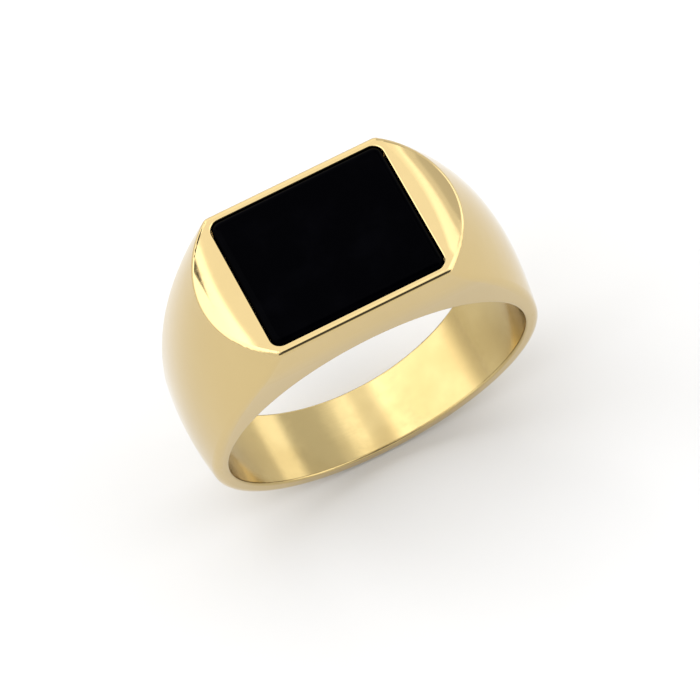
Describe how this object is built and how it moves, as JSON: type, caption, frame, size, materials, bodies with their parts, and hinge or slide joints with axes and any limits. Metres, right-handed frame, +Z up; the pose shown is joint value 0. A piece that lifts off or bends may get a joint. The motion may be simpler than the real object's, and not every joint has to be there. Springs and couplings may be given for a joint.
{
  "type": "signet ring",
  "caption": "Polished yellow gold signet ring with a tapered band, flared shoulders and a flat rectangular black onyx set flush in a cushion-shaped table.",
  "frame": {"origin": "centre of the finger bore, midway along its axis", "axes": "+Y along the bore, the way the finger points; +X across the finger, along the stone's long side; +Z up through the head, out of the stone"},
  "size_m": [0.0222, 0.0102, 0.0247],
  "materials": {
    "gold": "mirror-polished 14 karat yellow gold, with fine handling scratches",
    "onyx": "glossy polished black onyx",
    "cement": "cured dark setting cement, hidden under the stone"
  },
  "bodies": {
    "root": {"gold_ring": "gold", "onyx_tablet": "onyx", "cement_bed": "cement"}
  },
  "joints": []
}
